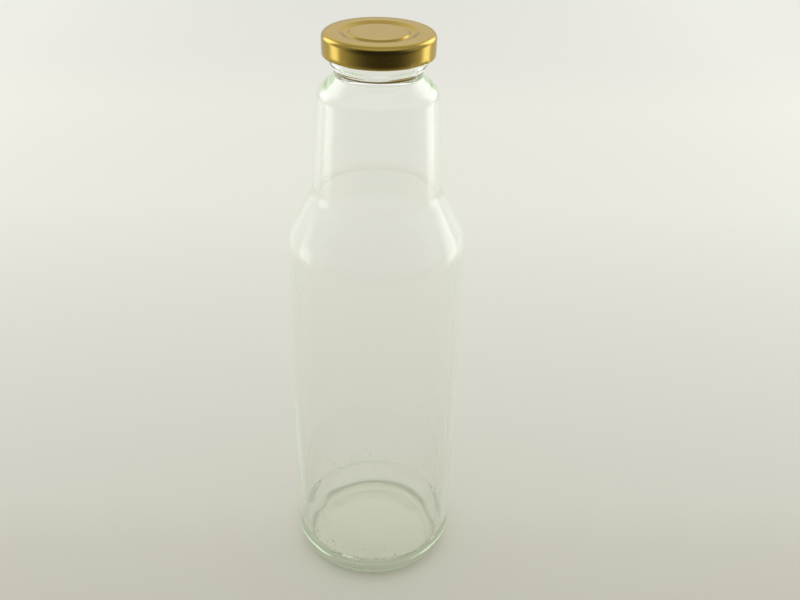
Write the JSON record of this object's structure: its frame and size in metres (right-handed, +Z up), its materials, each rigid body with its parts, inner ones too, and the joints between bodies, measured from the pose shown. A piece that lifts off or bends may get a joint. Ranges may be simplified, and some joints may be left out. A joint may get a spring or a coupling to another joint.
{
  "type": "syrup bottle",
  "caption": "Tall clear-glass syrup bottle with a straight body, tapered neck and round collar, closed by a pressed metal lug cap; empty",
  "frame": {"origin": "centre of the ring that the bottle stands on, in the standing plane", "axes": "+Z up the bottle's axis to the cap; X and Y are equal, and the cap's lugs lie midway between them"},
  "size_m": [0.0772, 0.0772, 0.2619],
  "materials": {
    "bottle": "clear soda-lime glass with a faint green cast, fire-polished",
    "lid": "gold lacquer over pressed tinplate, satin gloss",
    "seal": "soft cream sealing compound"
  },
  "bodies": {
    "root": {"bottle": "bottle", "lid": "lid", "seal": "seal"}
  },
  "joints": []
}
